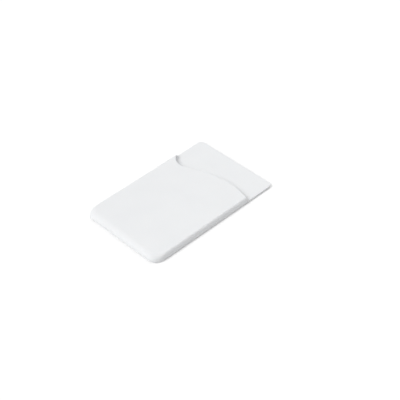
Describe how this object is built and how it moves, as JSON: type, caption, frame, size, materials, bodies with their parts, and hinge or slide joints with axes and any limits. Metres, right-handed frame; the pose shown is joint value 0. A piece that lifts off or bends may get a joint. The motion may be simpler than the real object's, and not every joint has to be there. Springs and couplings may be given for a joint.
{
  "type": "stick on phone card holder",
  "caption": "Flat moulded silicone card pocket with a wavy mouth and a double-sided adhesive pad that sticks it on the back of a phone.",
  "frame": {"origin": "centre of the adhesive pad's lower face, which lies on the back of the phone", "axes": "+X across the pocket, +Y from the closed end to the open end where a card goes in, +Z out of the phone"},
  "size_m": [0.056, 0.086, 0.0035],
  "materials": {
    "silicone": "white silicone rubber, satin, with a fine dry skin",
    "adhesive": "milky double-sided acrylic adhesive, smooth and slightly glossy"
  },
  "bodies": {
    "root": {"silicone_pocket": "silicone", "adhesive_pad": "adhesive"}
  },
  "joints": []
}
